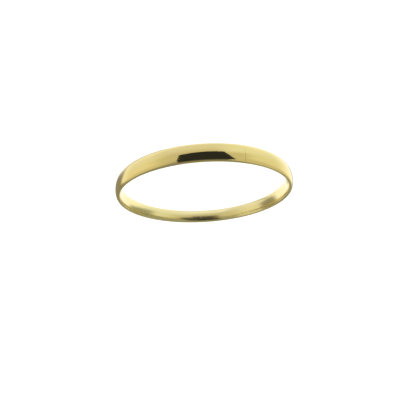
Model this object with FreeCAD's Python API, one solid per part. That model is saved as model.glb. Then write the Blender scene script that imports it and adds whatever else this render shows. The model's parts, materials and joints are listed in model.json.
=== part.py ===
import FreeCAD, Part
import math
import os

# A plain slip-on bangle: one thin-walled oval tube bent into a circle round +Z and closed by a
# single soldered butt joint, with a short sleeve inside the tube across the joint.
# Millimetres and degrees. The origin is the ring's centre in the plane of the lower rim.

# Driving dimensions
INNER_DIAMETER = 65.0    # clear opening at the middle of the inner face
BAND_WIDTH = 6.0         # along the ring's axis, from rim to rim
OUTER_DOME = 1.1         # height of the outer crown above the rims
INNER_DOME = 0.8         # height of the comfort-fit inner crown above the rims
RIM_FLAT = 0.3           # radial width of the flat along each rim
LAND_WIDTH = 1.2         # cylindrical land along the middle of the inner face
WALL = 0.3               # metal thickness of the tube

JOINT_AZIMUTH = 21.4     # the butt joint, turned from -Y towards +X
JOINT_GAP = 0.1          # length of the solder film along the ring
SLEEVE_LENGTH = 12.0     # along the ring, half of it on each side of the joint
SLEEVE_WALL = 0.3
SLEEVE_CLEARANCE = 0.03  # between the sleeve and the inside of the tube

# Radii that follow from them
LAND_RADIUS = INNER_DIAMETER / 2
RIM_INNER_RADIUS = LAND_RADIUS + INNER_DOME
RIM_OUTER_RADIUS = RIM_INNER_RADIUS + RIM_FLAT
MID_RADIUS = (RIM_INNER_RADIUS + RIM_OUTER_RADIUS) / 2

MID_HEIGHT = BAND_WIDTH / 2
RING_CENTRE = FreeCAD.Vector(0, 0, 0)
RING_AXIS = FreeCAD.Vector(0, 0, 1)
JOINT_ANGLE = JOINT_AZIMUTH - 90  # the same place, turned from +X round +Z
FULL_TURN = 360


def arc_degrees(length):
    """The angle at the ring's centre that an arc of this length takes at the rims."""
    return math.degrees(length / MID_RADIUS)


def at(radius, height):
    """A point of the cross-section, in the XZ plane, with height counted from mid-width."""
    return FreeCAD.Vector(radius, 0, MID_HEIGHT + height)


def quarter_turns(rim, crown, centre, turns):
    """An elliptical arc that starts at the rim and passes over the crown, in quarter turns."""
    ellipse = Part.Ellipse(rim, crown, centre)
    return Part.ArcOfEllipse(ellipse, 0, turns * math.pi / 2).toShape()


def oval(inset):
    """The tube's oval cross-section as a face, smaller by inset on every side."""
    rim = MID_HEIGHT - inset
    land = LAND_WIDTH / 2
    outer_crown = RIM_OUTER_RADIUS + OUTER_DOME - inset
    inner_crown = LAND_RADIUS + inset

    def inner_shoulder(side):
        return quarter_turns(
            at(RIM_INNER_RADIUS, side * rim),
            at(inner_crown, side * land),
            at(RIM_INNER_RADIUS, side * land),
            1,
        )

    def rim_flat(side):
        return Part.makeLine(at(RIM_INNER_RADIUS, side * rim), at(RIM_OUTER_RADIUS, side * rim))

    outer_face = quarter_turns(
        at(RIM_OUTER_RADIUS, rim), at(outer_crown, 0), at(RIM_OUTER_RADIUS, 0), 2
    )
    inner_land = Part.makeLine(at(inner_crown, land), at(inner_crown, -land))
    edges = [rim_flat(1), outer_face, rim_flat(-1), inner_shoulder(-1), inner_land, inner_shoulder(1)]
    return Part.Face(Part.Wire(edges))


def sweep(section, start, length):
    """The solid that a cross-section makes as it turns round the ring's axis, in degrees."""
    placed = section.copy()
    placed.rotate(RING_CENTRE, RING_AXIS, start)
    return placed.revolve(RING_CENTRE, RING_AXIS, length)


def band_tube():
    """The visible band: a hollow oval tube with its two ends facing each other at the joint."""
    film = arc_degrees(JOINT_GAP)
    wall = oval(0).cut(oval(WALL)).Faces[0]
    return sweep(wall, JOINT_ANGLE + film / 2, FULL_TURN - film)


def solder_seam():
    """The solder film between the tube's ends, from the outer skin down onto the sleeve."""
    film = arc_degrees(JOINT_GAP)
    ring = oval(0).cut(oval(WALL + SLEEVE_CLEARANCE)).Faces[0]
    return sweep(ring, JOINT_ANGLE - film / 2, film)


def joint_sleeve():
    """The short inner tube that lines up the two ends and carries the joint."""
    length = arc_degrees(SLEEVE_LENGTH)
    outside = WALL + SLEEVE_CLEARANCE
    wall = oval(outside).cut(oval(outside + SLEEVE_WALL)).Faces[0]
    return sweep(wall, JOINT_ANGLE - length / 2, length)


NODES = {
    "band_tube": band_tube,
    "solder_seam": solder_seam,
    "joint_sleeve": joint_sleeve,
}

os.makedirs("parts", exist_ok=True)
for name, make in NODES.items():
    solid = make()
    if not solid.isValid() or len(solid.Solids) != 1:
        raise ValueError(f"{name} is not one valid solid")
    solid.exportStep(f"parts/{name}.step")
    print(f"{name}: {solid.Volume:.1f} mm3")
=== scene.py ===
import bpy
import json
import math
from mathutils import Matrix, Vector


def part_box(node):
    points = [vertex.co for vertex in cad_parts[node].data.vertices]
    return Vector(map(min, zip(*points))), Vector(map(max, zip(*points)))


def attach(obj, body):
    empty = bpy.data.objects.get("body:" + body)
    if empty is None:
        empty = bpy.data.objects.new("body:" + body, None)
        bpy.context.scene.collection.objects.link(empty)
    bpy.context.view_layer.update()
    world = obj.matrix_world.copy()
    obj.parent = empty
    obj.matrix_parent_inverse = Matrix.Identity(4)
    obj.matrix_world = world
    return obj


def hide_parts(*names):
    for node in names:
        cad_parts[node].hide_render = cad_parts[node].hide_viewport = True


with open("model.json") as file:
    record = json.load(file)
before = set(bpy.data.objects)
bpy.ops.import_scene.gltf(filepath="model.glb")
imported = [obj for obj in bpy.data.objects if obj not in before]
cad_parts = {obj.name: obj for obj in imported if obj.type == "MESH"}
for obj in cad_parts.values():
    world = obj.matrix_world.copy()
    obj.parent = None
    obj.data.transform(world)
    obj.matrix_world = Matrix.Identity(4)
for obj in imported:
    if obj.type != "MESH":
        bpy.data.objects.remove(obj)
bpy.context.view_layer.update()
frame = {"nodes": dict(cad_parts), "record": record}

MM = 0.001

# The ring as the frame gives it.
mounts = {mount["name"]: mount for mount in frame["record"]["mounts"]}
band_low, band_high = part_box("band_tube")
seam_low, seam_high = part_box("solder_seam")
seam_middle = (seam_low + seam_high) / 2
RING_CENTRE = (band_low + band_high) / 2
HALF_WIDTH = (band_high.z - band_low.z) / 2
OUTER_RADIUS = (band_high.x - band_low.x) / 2
LAND_RADIUS = mounts["wrist_bore"]["dims"]["r_mm"] * MM
RIM_RADIUS = mounts["lower_rim"]["pos_m"][0]
JOINT_AZIMUTH = math.atan2(seam_middle.x, -seam_middle.y)

# The band's own small sizes.
RIM_FLAT = 0.3 * MM
WALL = 0.3 * MM
JOINT_GAP = 0.1 * MM
RIM_INNER_RADIUS = RIM_RADIUS - RIM_FLAT / 2
RIM_OUTER_RADIUS = RIM_RADIUS + RIM_FLAT / 2

# Hand finishing at the joint: it is filed a little low, its edges are broken, and the solder lies lower.
SINK_DEPTH = 0.007 * MM
SINK_REACH = 0.75 * MM
EDGE_BREAK = 0.008 * MM
SOLDER_LOW = 0.006 * MM

# Long shallow waves that polishing leaves: times round the ring, share of the height, phase, and turn per
# metre of width. The shares add up to a half.
WAVE_HEIGHT = 0.012 * MM
WAVES = ((5, 0.25, 0.7, 0), (11, 0.15, 2.1, 150), (23, 0.1, 4.0, -260))

# Mesh steps: rings along the tube, more of them close to the joint, and points round its section.
RINGS = 720
INNER_RINGS = 120
JOINT_RINGS = 24
JOINT_RINGS_REACH = 1.5 * MM
OUTER_STEPS = 48
INNER_STEPS = 44
FLAT_STEPS = 2

# The colours of the gold, each with the deeper tone that drifts across it.
BAND_COLORS = ((0.88, 0.72, 0.31), (0.86, 0.70, 0.27))
SOLDER_COLORS = ((0.80, 0.65, 0.30), (0.74, 0.59, 0.26))
SLEEVE_COLORS = ((0.78, 0.64, 0.33), (0.74, 0.60, 0.29))

# The inner face, rubbed by the wrist, is a little duller and paler than the outer one. The wear fades in
# over a short way inwards from the rims.
WORN_COLOR = (0.87, 0.74, 0.35)
WORN_ROUGHNESS = 0.13
WORN_FADE = 0.3 * MM

# The grain of the polish: noise scales, how the noise is drawn out, the part of it that shows, and what it
# adds to the roughness or the relief. The buffing lines change the roughness by a share, up and down.
TONE_SCALE = 90
TONE_RANGE = (0.35, 0.65)
SMUDGE_SCALE = 160
SMUDGE_RANGE = (0.45, 0.75)
SMUDGE_ROUGHNESS = 0.05
BUFF_SCALE = 900
BUFF_STRETCH = (1, 1, 9)
BUFF_RANGE = (0.3, 0.7)
BUFF_SHARE = 0.3
BUFF_RISE = 0.35
SCRATCH_SCALE = 2600
SCRATCH_STRETCH = (0.4, 0.4, 3)
SCRATCH_RANGE = (0.6, 0.72)
SCRATCH_ROUGHNESS = 0.04
SCRATCH_RISE = -0.5

# The pale floor, which curves up into a wall.
FLOOR_DROP = 0.075
FLOOR_REACH = 1.2
SWEEP_RADIUS = 0.8
WALL_HEIGHT = 5.0
FLOOR_STEPS = 8
SWEEP_STEPS = 16
BACKDROP_SIDES = 96
BACKDROP_COLOR = (0.93, 0.93, 0.92)
BACKDROP_GLOW = 0.5

# The gloves' tone, as the gold reflects it.
GLOVE_COLOR = (0.95, 1.0, 0.85)

# The studio as the ring reflects it. The table's colour shows wherever no layer covers it, which is straight
# below and low at the back. A layer is a colour and the ramps that fade it in: each has an axis of the
# direction, where the layer starts along it and where it is whole.
TABLE_COLOR = (0.29, 0.29, 0.28)
SURROUNDING_LAYERS = (
    # the front, from the table up
    ((0.66, 0.64, 0.55), ("Z", -0.9, 0.1), ("Y", 0.35, -0.1)),
    # low on the right and on the left
    ((0.68, 0.66, 0.55), ("X", 0.25, 0.65), ("Z", -1.0, -0.75)),
    ((0.72, 0.70, 0.58), ("X", -0.45, -0.85), ("Z", -0.97, -0.45)),
    # level on the right and on the left
    ((0.86, 0.88, 0.80), ("X", 0.65, 0.95), ("Z", -0.35, 0.1)),
    ((0.90, 0.88, 0.78), ("X", -0.7, -0.95), ("Z", -0.35, 0.1)),
    # the ceiling, then its two sides, then its higher part from the ring backwards
    ((0.84, 0.86, 0.95), ("Z", 0.35, 0.8)),
    ((0.92, 0.98, 1.02), ("X", 0.15, 0.6), ("Z", 0.25, 0.55)),
    ((0.91, 0.94, 0.99), ("X", -0.5, -0.9), ("Z", 0.25, 0.55)),
    ((1.05, 1.08, 1.12), ("Z", 0.5, 0.8), ("Y", -0.35, 0.0)),
    # the white wall behind
    ((1.18, 1.20, 1.24), ("Y", 0.05, 0.65), ("Z", -0.12, 0.0)),
)

# The camera, below the ring's plane and close to it. Its place is counted from the ring's centre.
SENSOR_WIDTH = 36
LENS = 26.14
CLIP_START = 0.005
CAMERA_OFFSET = Vector((-1.85, -110.11, -42.20)) * MM
CAMERA_TILT_UP = math.radians(19.64)
CAMERA_ROLL = math.radians(3.39)


# ---------------------------------------------------------------- shape

def section(inset=0.0):
    """The oval cross-section as (radius, height above mid-width) points, once round."""
    rim = HALF_WIDTH - inset
    crown = OUTER_RADIUS - RIM_OUTER_RADIUS - inset
    inner_crown = RIM_INNER_RADIUS - LAND_RADIUS - inset
    points = []
    for step in range(OUTER_STEPS):
        turn = math.pi * step / OUTER_STEPS
        points.append((RIM_OUTER_RADIUS + crown * math.sin(turn), rim * math.cos(turn)))
    for step in range(FLAT_STEPS):
        points.append((RIM_OUTER_RADIUS - RIM_FLAT * step / FLAT_STEPS, -rim))
    for step in range(INNER_STEPS):
        turn = math.pi * step / INNER_STEPS
        points.append((RIM_INNER_RADIUS - inner_crown * math.sin(turn), -rim * math.cos(turn)))
    for step in range(FLAT_STEPS):
        points.append((RIM_INNER_RADIUS + RIM_FLAT * step / FLAT_STEPS, rim))
    return points


def hand_wave(azimuth, height):
    """How far the polished skin lies below the true oval: between nothing and WAVE_HEIGHT."""
    depth = 0.5
    for times, share, phase, turn in WAVES:
        depth += share * math.sin(times * azimuth + phase + turn * height)
    return WAVE_HEIGHT * depth


def joint_drop(distance):
    """How far the skin drops near the joint, at this distance along the ring from the tube's end."""
    sink = 0.0
    if distance < SINK_REACH:
        sink = SINK_DEPTH * (1 - distance / SINK_REACH) ** 2
    broken = max(0.0, EDGE_BREAK - distance)
    return sink + broken


def place(radius, height, azimuth):
    """A point of the ring, with azimuth turned from -Y towards +X."""
    return RING_CENTRE + Vector((radius * math.sin(azimuth), -radius * math.cos(azimuth), height))


def moved_in(point, by):
    """A point of the section moved by a small distance towards the section's middle."""
    middle = (OUTER_RADIUS + LAND_RADIUS) / 2
    away = Vector((point[0] - middle, point[1]))
    away *= 1 - by / away.length
    return middle + away.x, away.y


def azimuths(rings):
    """Ring angles from one end of the tube to the other, close together near the joint."""
    gap = JOINT_GAP / RIM_RADIUS
    fine_reach = JOINT_RINGS_REACH / RIM_RADIUS
    fine = [fine_reach * (step / JOINT_RINGS) ** 2 for step in range(JOINT_RINGS)]
    span = 2 * math.pi - gap - 2 * fine_reach
    coarse = [fine_reach + span * step / rings for step in range(rings + 1)]
    last = [2 * math.pi - gap - angle for angle in reversed(fine)]
    start = JOINT_AZIMUTH + gap / 2
    return [start + angle for angle in fine + coarse + last]


def skin(rings, inset, finished):
    """Rows of points along the tube, one row for each ring angle. A finished skin shows the hand work."""
    angles = azimuths(rings)
    outline = section(inset)
    rows = []
    for angle in angles:
        distance = min(angle - angles[0], angles[-1] - angle) * RIM_RADIUS
        drop = joint_drop(distance) if finished else 0.0
        row = []
        for point in outline:
            wave = hand_wave(angle, point[1]) if finished else 0.0
            row.append(place(*moved_in(point, drop + wave), angle))
        rows.append(row)
    return rows


def make_mesh(name, vertices, faces):
    """A smooth-shaded object with this mesh, linked into the scene."""
    mesh = bpy.data.meshes.new(name)
    mesh.from_pydata([tuple(vertex) for vertex in vertices], [], faces)
    mesh.validate()
    mesh.polygons.foreach_set("use_smooth", [True] * len(mesh.polygons))
    mesh.update()
    piece = bpy.data.objects.new(name, mesh)
    bpy.context.scene.collection.objects.link(piece)
    return piece


def grid_faces(rows, count, first, flip):
    """Quads between neighbouring rows of a closed outline."""
    faces = []
    for row in range(rows - 1):
        for step in range(count):
            a = first + row * count + step
            b = first + row * count + (step + 1) % count
            c, d = b + count, a + count
            faces.append((a, b, c, d) if flip else (a, d, c, b))
    return faces


def band():
    """The band: outer skin, inner skin and the two ends of the tube as one closed mesh."""
    outside = skin(RINGS, inset=0.0, finished=True)
    inside = skin(INNER_RINGS, inset=WALL, finished=False)
    count = len(outside[0])
    vertices = [point for row in outside + inside for point in row]
    inner_first = len(outside) * count
    faces = grid_faces(len(outside), count, first=0, flip=False)
    faces += grid_faces(len(inside), count, first=inner_first, flip=True)
    outer_last = inner_first - count
    inner_last = len(vertices) - count
    for step in range(count):
        after = (step + 1) % count
        faces.append((step, after, inner_first + after, inner_first + step))
        faces.append((outer_last + step, inner_last + step, inner_last + after, outer_last + after))
    return make_mesh("gold_band", vertices, faces)


def solder_line():
    """The solder film, a little below the skin between the tube's broken edges."""
    half = JOINT_GAP / RIM_RADIUS / 2
    outline = [moved_in(point, SINK_DEPTH + SOLDER_LOW) for point in section()]
    core = section(WALL)
    count = len(outline)
    vertices = []
    for angle in (JOINT_AZIMUTH - half, JOINT_AZIMUTH + half):
        for radius, height in outline + core:
            vertices.append(place(radius, height, angle))
    faces = []
    far = 2 * count
    for step in range(count):
        after = (step + 1) % count
        faces.append((step, after, far + after, far + step))
        faces.append((count + step, far + count + step, far + count + after, count + after))
        faces.append((step, count + step, count + after, after))
        faces.append((far + step, far + after, far + count + after, far + count + step))
    return make_mesh("solder_line", vertices, faces)


# ---------------------------------------------------------------- materials

class Nodes:
    """A short way to build one material's node tree, in the object's own coordinates."""

    def __init__(self, name):
        self.material = bpy.data.materials.new(name)
        self.material.use_nodes = True
        self.tree = self.material.node_tree
        self.shader = self.tree.nodes["Principled BSDF"]
        self.coordinates = self.tree.nodes.new("ShaderNodeTexCoord").outputs["Object"]

    def link(self, source, target):
        self.tree.links.new(source, target)

    def stretched(self, scale):
        """The coordinates, scaled along each axis."""
        node = self.tree.nodes.new("ShaderNodeMapping")
        node.inputs["Scale"].default_value = scale
        self.link(self.coordinates, node.inputs["Vector"])
        return node.outputs["Vector"]

    def noise(self, scale, detail, vector=None):
        """Soft noise from 0 to 1."""
        node = self.tree.nodes.new("ShaderNodeTexNoise")
        node.inputs["Scale"].default_value = scale
        node.inputs["Detail"].default_value = detail
        self.link(vector or self.coordinates, node.inputs["Vector"])
        return node.outputs["Fac"]

    def radius(self):
        """Distance from the ring's axis."""
        flat = self.stretched((1, 1, 0))
        node = self.tree.nodes.new("ShaderNodeVectorMath")
        node.operation = "LENGTH"
        self.link(flat, node.inputs[0])
        return node.outputs["Value"]

    def spread(self, value, low, high, to_low, to_high):
        """The range from low to high laid onto the range from to_low to to_high."""
        node = self.tree.nodes.new("ShaderNodeMapRange")
        node.inputs["From Min"].default_value = low
        node.inputs["From Max"].default_value = high
        node.inputs["To Min"].default_value = to_low
        node.inputs["To Max"].default_value = to_high
        self.link(value, node.inputs["Value"])
        return node.outputs["Result"]

    def math(self, operation, first, second):
        """One sum on two values, each a number or a socket."""
        node = self.tree.nodes.new("ShaderNodeMath")
        node.operation = operation
        for socket, value in zip(node.inputs, (first, second)):
            if isinstance(value, (int, float)):
                socket.default_value = value
            else:
                self.link(value, socket)
        return node.outputs["Value"]

    def blend(self, factor, first, second):
        """A mix of two colours, each a tuple or a socket."""
        node = self.tree.nodes.new("ShaderNodeMix")
        node.data_type = "RGBA"
        self.link(factor, node.inputs["Factor"])
        for socket, value in zip((node.inputs["A"], node.inputs["B"]), (first, second)):
            if isinstance(value, tuple):
                socket.default_value = (*value, 1)
            else:
                self.link(value, socket)
        return node.outputs["Result"]

    def bump(self, height, distance):
        """Relief on the material's surface."""
        node = self.tree.nodes.new("ShaderNodeBump")
        node.inputs["Strength"].default_value = 1.0
        node.inputs["Distance"].default_value = distance
        self.link(height, node.inputs["Height"])
        self.link(node.outputs["Normal"], self.shader.inputs["Normal"])


def polished_gold(name, colors, roughness, scratch_height):
    """Mirror-polished gold: faint tone changes, smudges, buffing lines, fine scratches and inner wear."""
    nodes = Nodes(name)
    nodes.shader.inputs["Metallic"].default_value = 1.0
    tone = nodes.spread(nodes.noise(TONE_SCALE, detail=3), *TONE_RANGE, 0, 1)
    worn = nodes.spread(nodes.radius(), RIM_INNER_RADIUS, RIM_INNER_RADIUS - WORN_FADE, 0, 1)
    color = nodes.blend(worn, nodes.blend(tone, *colors), WORN_COLOR)
    nodes.link(color, nodes.shader.inputs["Base Color"])

    smudges = nodes.spread(nodes.noise(SMUDGE_SCALE, detail=5), *SMUDGE_RANGE, 0, SMUDGE_ROUGHNESS)
    buffing = nodes.noise(BUFF_SCALE, detail=4, vector=nodes.stretched(BUFF_STRETCH))
    scratches = nodes.noise(SCRATCH_SCALE, detail=2, vector=nodes.stretched(SCRATCH_STRETCH))
    scratches = nodes.spread(scratches, *SCRATCH_RANGE, 0, 1)
    rough = nodes.spread(buffing, *BUFF_RANGE, roughness * (1 - BUFF_SHARE), roughness * (1 + BUFF_SHARE))
    rough = nodes.math("ADD", rough, smudges)
    rough = nodes.math("ADD", rough, nodes.math("MULTIPLY", worn, WORN_ROUGHNESS))
    rough = nodes.math("ADD", rough, nodes.math("MULTIPLY", scratches, SCRATCH_ROUGHNESS))
    nodes.link(rough, nodes.shader.inputs["Roughness"])

    ridges = nodes.math("MULTIPLY", buffing, BUFF_RISE)
    grooves = nodes.math("MULTIPLY", scratches, SCRATCH_RISE)
    nodes.bump(nodes.math("ADD", ridges, grooves), scratch_height)
    return nodes.material


def plain_stage(name, color, glow_strength):
    """A matt stage material that also glows a little, so that it stays pale."""
    nodes = Nodes(name)
    nodes.shader.inputs["Base Color"].default_value = (*color, 1)
    nodes.shader.inputs["Roughness"].default_value = 0.9
    nodes.shader.inputs["Emission Color"].default_value = (1, 1, 1, 1)
    nodes.shader.inputs["Emission Strength"].default_value = glow_strength
    return nodes.material


def glow(name, color, strength, soft, one_sided):
    """One even tone that fades out at every edge, over the share of the card's width that soft gives.

    A one-sided card is seen only from the side that its corners run round anticlockwise.
    """
    material = bpy.data.materials.new(name)
    material.use_nodes = True
    tree = material.node_tree
    tree.nodes.clear()
    masks = []
    if one_sided:
        front = tree.nodes.new("ShaderNodeMath")
        front.operation = "SUBTRACT"
        front.inputs[0].default_value = 1.0
        tree.links.new(tree.nodes.new("ShaderNodeNewGeometry").outputs["Backfacing"], front.inputs[1])
        masks.append(front.outputs["Value"])
    if soft > 0:
        split = tree.nodes.new("ShaderNodeSeparateXYZ")
        tree.links.new(tree.nodes.new("ShaderNodeTexCoord").outputs["UV"], split.inputs["Vector"])
        for axis in ("X", "Y"):
            for edge in (0, 1):
                ramp = tree.nodes.new("ShaderNodeMapRange")
                ramp.interpolation_type = "SMOOTHSTEP"
                ramp.inputs["From Min"].default_value = edge
                ramp.inputs["From Max"].default_value = abs(edge - soft)
                tree.links.new(split.outputs[axis], ramp.inputs["Value"])
                masks.append(ramp.outputs["Result"])

    emission = tree.nodes.new("ShaderNodeEmission")
    emission.inputs["Color"].default_value = (*color, 1)
    emission.inputs["Strength"].default_value = strength
    shown = emission.outputs["Emission"]
    for mask in masks:
        mix = tree.nodes.new("ShaderNodeMixShader")
        tree.links.new(mask, mix.inputs["Fac"])
        tree.links.new(tree.nodes.new("ShaderNodeBsdfTransparent").outputs["BSDF"], mix.inputs[1])
        tree.links.new(shown, mix.inputs[2])
        shown = mix.outputs["Shader"]
    output = tree.nodes.new("ShaderNodeOutputMaterial")
    tree.links.new(shown, output.inputs["Surface"])
    return material


# ---------------------------------------------------------------- stage

def card(name, corners, color, strength, soft=0, one_sided=False):
    """A flat glowing panel that only reflections see.

    Its corners are counted from the ring's centre and run round from the lower left one.
    """
    mesh = bpy.data.meshes.new(name)
    mesh.from_pydata([tuple(RING_CENTRE + Vector(corner)) for corner in corners], [], [(0, 1, 2, 3)])
    across = mesh.uv_layers.new(name="across")
    for loop, uv in enumerate([(0, 0), (1, 0), (1, 1), (0, 1)]):
        across.data[loop].uv = uv
    mesh.update()
    panel = bpy.data.objects.new(name, mesh)
    bpy.context.scene.collection.objects.link(panel)
    mesh.materials.append(glow(f"{name}_tone", color, strength, soft, one_sided))
    panel.visible_camera = False
    panel.visible_diffuse = False
    panel.visible_shadow = False


def upright(start, end, low, high):
    """The corners of an upright card over the line from start to end, between two heights."""
    return [(*start, low), (*end, low), (*end, high), (*start, high)]


def outer_cards():
    """What stands round the ring: the camera and its stand, the sides, the ceiling light, a dark wall."""
    camera_low = -0.067
    camera_corners = [
        (-0.060, -0.118, camera_low),
        (0.086, -0.118, camera_low),
        (0.046, -0.118, 0.041),
        (-0.050, -0.118, 0.035),
    ]
    stand_corners = [
        (-0.075, -0.119, -0.14),
        (0.07, -0.119, -0.14),
        (0.07, -0.119, camera_low),
        (-0.060, -0.119, camera_low),
    ]
    left_corners = [
        (-0.152, 0.020, -0.10),
        (-0.082, 0.118, -0.10),
        (-0.082, 0.118, 0.110),
        (-0.150, 0.023, 0.095),
    ]
    right_corners = [
        (0.056, 0.012, -0.07),
        (0.034, 0.085, -0.07),
        (0.030, 0.085, 0.034),
        (0.056, 0.012, 0.046),
    ]
    overhead_corners = [
        (-0.032, -0.032, 0.034),
        (0.032, -0.032, 0.034),
        (0.032, 0.012, 0.075),
        (-0.032, 0.012, 0.075),
    ]
    back_corners = upright((-0.30, 0.12), (0.06, 0.12), 0.05, 0.7)
    card("camera_flag", camera_corners, (0.72, 0.76, 1.0), strength=0.038)
    card("stand_flag", stand_corners, (1, 0.98, 0.9), strength=0.11)
    card("left_flag", left_corners, (1, 0.94, 0.8), strength=0.31, soft=0.25)
    card("right_flag", right_corners, GLOVE_COLOR, strength=0.36, soft=0.18)
    card("overhead_card", overhead_corners, (0.93, 0.98, 1.15), strength=1.05, soft=0.12)
    card("back_flag", back_corners, (1, 0.96, 0.85), strength=0.30, soft=0.35)


def inner_cards():
    """What the inner face sees: the glove's palm and fingers, and the dark front through the ring."""
    palm_corners = [
        (-0.014, -0.010, -0.032),
        (-0.014, 0.030, -0.032),
        (0.030, 0.022, -0.002),
        (0.030, -0.012, -0.002),
    ]
    finger_low, finger_high = -0.035, -0.004
    right_corners = upright((0.031, -0.004), (0.021, -0.021), finger_low, finger_high)
    left_corners = upright((-0.015, -0.026), (-0.030, -0.006), finger_low, finger_high)
    front_corners = upright((0.013, -0.0285), (-0.012, -0.0285), -0.006, 0.006)
    front_right_corners = upright((0.026, -0.0150), (0.013, -0.0275), -0.012, 0.010)
    card("palm_flag", palm_corners, GLOVE_COLOR, strength=0.38, soft=0.12)
    card("right_low_flag", right_corners, GLOVE_COLOR, strength=0.34, soft=0.08, one_sided=True)
    card("left_low_flag", left_corners, GLOVE_COLOR, strength=0.38, soft=0.08, one_sided=True)
    card("front_shade", front_corners, (1, 1, 1), strength=0.04, soft=0.05, one_sided=True)
    card("front_shade_right", front_right_corners, (1, 1, 1), strength=0.06, soft=0.12, one_sided=True)


def backdrop():
    """A pale floor below the ring that curves up into a pale wall all round. Only the camera sees it."""
    level = RING_CENTRE.z - FLOOR_DROP
    profile = [(FLOOR_REACH * (step + 1) / FLOOR_STEPS, 0.0) for step in range(FLOOR_STEPS)]
    for step in range(SWEEP_STEPS):
        turn = math.pi / 2 * (step + 1) / SWEEP_STEPS
        profile.append((FLOOR_REACH + SWEEP_RADIUS * math.sin(turn), SWEEP_RADIUS * (1 - math.cos(turn))))
    profile.append((FLOOR_REACH + SWEEP_RADIUS, WALL_HEIGHT))
    vertices = [(0, 0, level)]
    for reach, rise in profile:
        for side in range(BACKDROP_SIDES):
            angle = 2 * math.pi * side / BACKDROP_SIDES
            vertices.append((reach * math.cos(angle), reach * math.sin(angle), level + rise))
    faces = [(0, 1 + side, 1 + (side + 1) % BACKDROP_SIDES) for side in range(BACKDROP_SIDES)]
    faces += grid_faces(len(profile), BACKDROP_SIDES, first=1, flip=False)
    sweep = make_mesh("backdrop", vertices, faces)
    sweep.data.materials.append(plain_stage("pale_backdrop", BACKDROP_COLOR, BACKDROP_GLOW))
    sweep.visible_glossy = False
    sweep.visible_diffuse = False
    sweep.visible_shadow = False


def soft_light(name, place_at, size, power):
    """A round area light aimed at the ring, from a place counted from the ring's centre."""
    data = bpy.data.lights.new(name, "AREA")
    data.shape = "DISK"
    data.size = size
    data.energy = power
    lamp = bpy.data.objects.new(name, data)
    bpy.context.scene.collection.objects.link(lamp)
    lamp.location = RING_CENTRE + Vector(place_at)
    lamp.rotation_mode = "QUATERNION"
    lamp.rotation_quaternion = (RING_CENTRE - lamp.location).to_track_quat("-Z", "Y")
    lamp.visible_glossy = False


def surroundings():
    """The world: one table colour below, with the layers of the studio laid over it."""
    world = bpy.data.worlds.new("studio")
    bpy.context.scene.world = world
    world.use_nodes = True
    tree = world.node_tree
    direction = tree.nodes.new("ShaderNodeTexCoord").outputs["Generated"]
    split = tree.nodes.new("ShaderNodeSeparateXYZ")
    tree.links.new(direction, split.inputs["Vector"])

    def ramp(axis, low, high):
        """A smooth rise from 0 to 1 along one axis of the direction."""
        node = tree.nodes.new("ShaderNodeMapRange")
        node.interpolation_type = "SMOOTHSTEP"
        node.inputs["From Min"].default_value = low
        node.inputs["From Max"].default_value = high
        tree.links.new(split.outputs[axis], node.inputs["Value"])
        return node.outputs["Result"]

    def layer(below, color, ramps):
        """A colour laid over the one below, a tuple or a socket, where all of its ramps are up."""
        mask = ramp(*ramps[0])
        for extra in ramps[1:]:
            product = tree.nodes.new("ShaderNodeMath")
            product.operation = "MULTIPLY"
            tree.links.new(mask, product.inputs[0])
            tree.links.new(ramp(*extra), product.inputs[1])
            mask = product.outputs["Value"]
        mix = tree.nodes.new("ShaderNodeMix")
        mix.data_type = "RGBA"
        if isinstance(below, tuple):
            mix.inputs["A"].default_value = (*below, 1)
        else:
            tree.links.new(below, mix.inputs["A"])
        mix.inputs["B"].default_value = (*color, 1)
        tree.links.new(mask, mix.inputs["Factor"])
        return mix.outputs["Result"]

    shown = TABLE_COLOR
    for color, *ramps in SURROUNDING_LAYERS:
        shown = layer(shown, color, ramps)
    tree.links.new(shown, tree.nodes["Background"].inputs["Color"])


def camera():
    """The photographer's view."""
    data = bpy.data.cameras.new("camera")
    data.sensor_width = SENSOR_WIDTH
    data.lens = LENS
    data.clip_start = CLIP_START
    view = bpy.data.objects.new("camera", data)
    bpy.context.scene.collection.objects.link(view)
    turn = Matrix.Rotation(math.pi / 2 + CAMERA_TILT_UP, 4, "X") @ Matrix.Rotation(-CAMERA_ROLL, 4, "Z")
    view.matrix_world = Matrix.Translation(RING_CENTRE + CAMERA_OFFSET) @ turn
    bpy.context.scene.camera = view


# ---------------------------------------------------------------- the scene

band_gold = polished_gold("band_gold", BAND_COLORS, roughness=0.05, scratch_height=0.002 * MM)
solder_gold = polished_gold("solder_gold", SOLDER_COLORS, roughness=0.12, scratch_height=0.004 * MM)
sleeve_gold = polished_gold("sleeve_gold", SLEEVE_COLORS, roughness=0.25, scratch_height=0.004 * MM)

gold_band = band()
gold_band.data.materials.append(band_gold)
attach(gold_band, "root")
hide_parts("band_tube")

seam = solder_line()
seam.data.materials.append(solder_gold)
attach(seam, "root")
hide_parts("solder_seam")

sleeve = frame["nodes"]["joint_sleeve"]
sleeve.data.materials.clear()
sleeve.data.materials.append(sleeve_gold)

backdrop()
surroundings()
outer_cards()
inner_cards()
soft_light("high_soft_light", (-0.3, 0.2, 0.7), size=0.6, power=12)
camera()

scene = bpy.context.scene
scene.view_settings.view_transform = "Standard"
